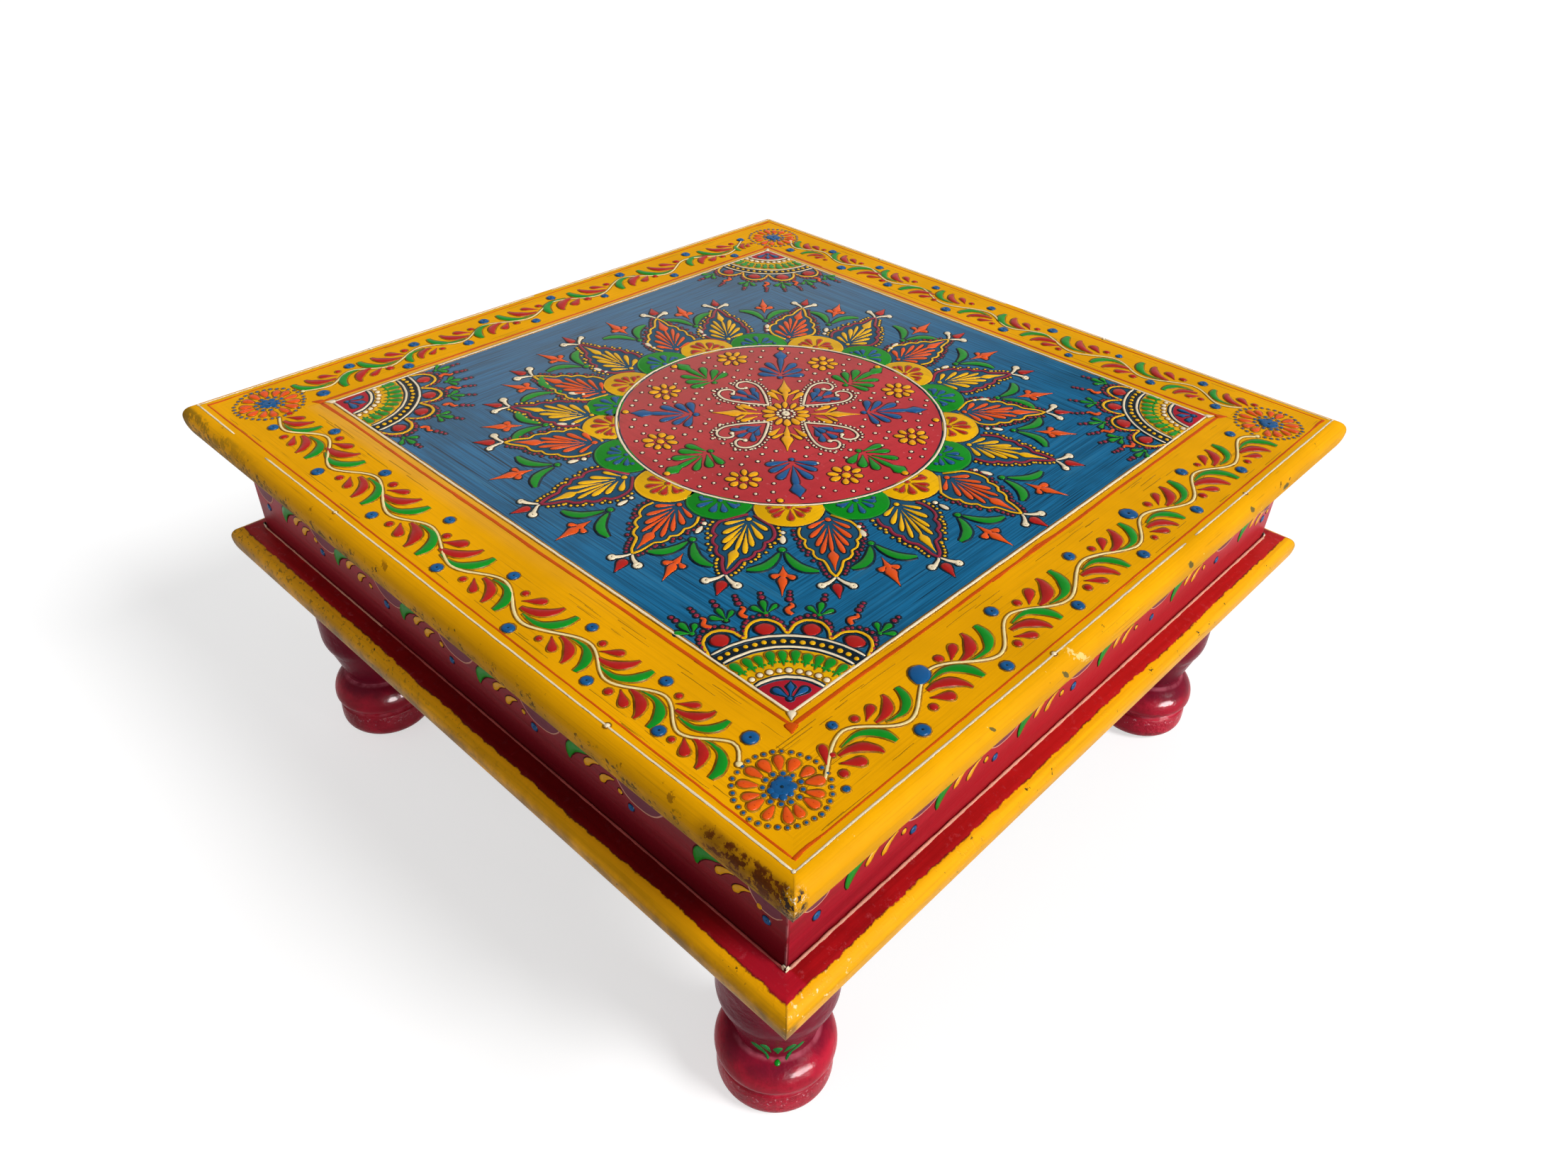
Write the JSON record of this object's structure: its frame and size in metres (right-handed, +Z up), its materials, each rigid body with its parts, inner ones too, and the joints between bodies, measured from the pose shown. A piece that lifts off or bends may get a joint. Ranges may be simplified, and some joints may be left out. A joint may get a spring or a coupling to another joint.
{
  "type": "low table",
  "caption": "Low square painted wooden table with a moulded panelled top, a red apron box, a moulded base frame and short turned legs.",
  "frame": {"origin": "on the floor, under the middle of the square top", "axes": "+Z is up, the shortest extent; -Y is the front and +X the right, and all four sides are alike"},
  "size_m": [0.305, 0.305, 0.15],
  "materials": {
    "blue_paint": "hand painted wood, satin",
    "yellow_paint": "hand painted wood, satin, worn edges",
    "dark_red_enamel": "enamelled wood, gloss",
    "base_frame_enamel": "enamelled wood, red above and yellow on the nose",
    "crimson_enamel": "enamelled wood, high gloss",
    "bare_wood": "sawn, unfinished",
    "raised_paint": "piped acrylic relief paint, satin, in several colours",
    "screw_steel": "plain steel"
  },
  "bodies": {
    "root": {"top_panel": "blue_paint", "top_rail_front": "yellow_paint", "top_rail_right": "yellow_paint", "top_rail_back": "yellow_paint", "top_rail_left": "yellow_paint", "apron_front": "dark_red_enamel", "apron_right": "dark_red_enamel", "apron_back": "dark_red_enamel", "apron_left": "dark_red_enamel", "base_rail_front": "base_frame_enamel", "base_rail_right": "base_frame_enamel", "base_rail_back": "base_frame_enamel", "base_rail_left": "base_frame_enamel", "cleat_front": "bare_wood", "cleat_right": "bare_wood", "cleat_back": "bare_wood", "cleat_left": "bare_wood", "corner_block_front_right": "bare_wood", "corner_block_back_right": "bare_wood", "corner_block_back_left": "bare_wood", "corner_block_front_left": "bare_wood", "leg_front_right": "crimson_enamel", "leg_back_right": "crimson_enamel", "leg_back_left": "crimson_enamel", "leg_front_left": "crimson_enamel", "base_screws": "screw_steel", "block_screws": "screw_steel", "cleat_screws": "screw_steel"}
  },
  "joints": []
}
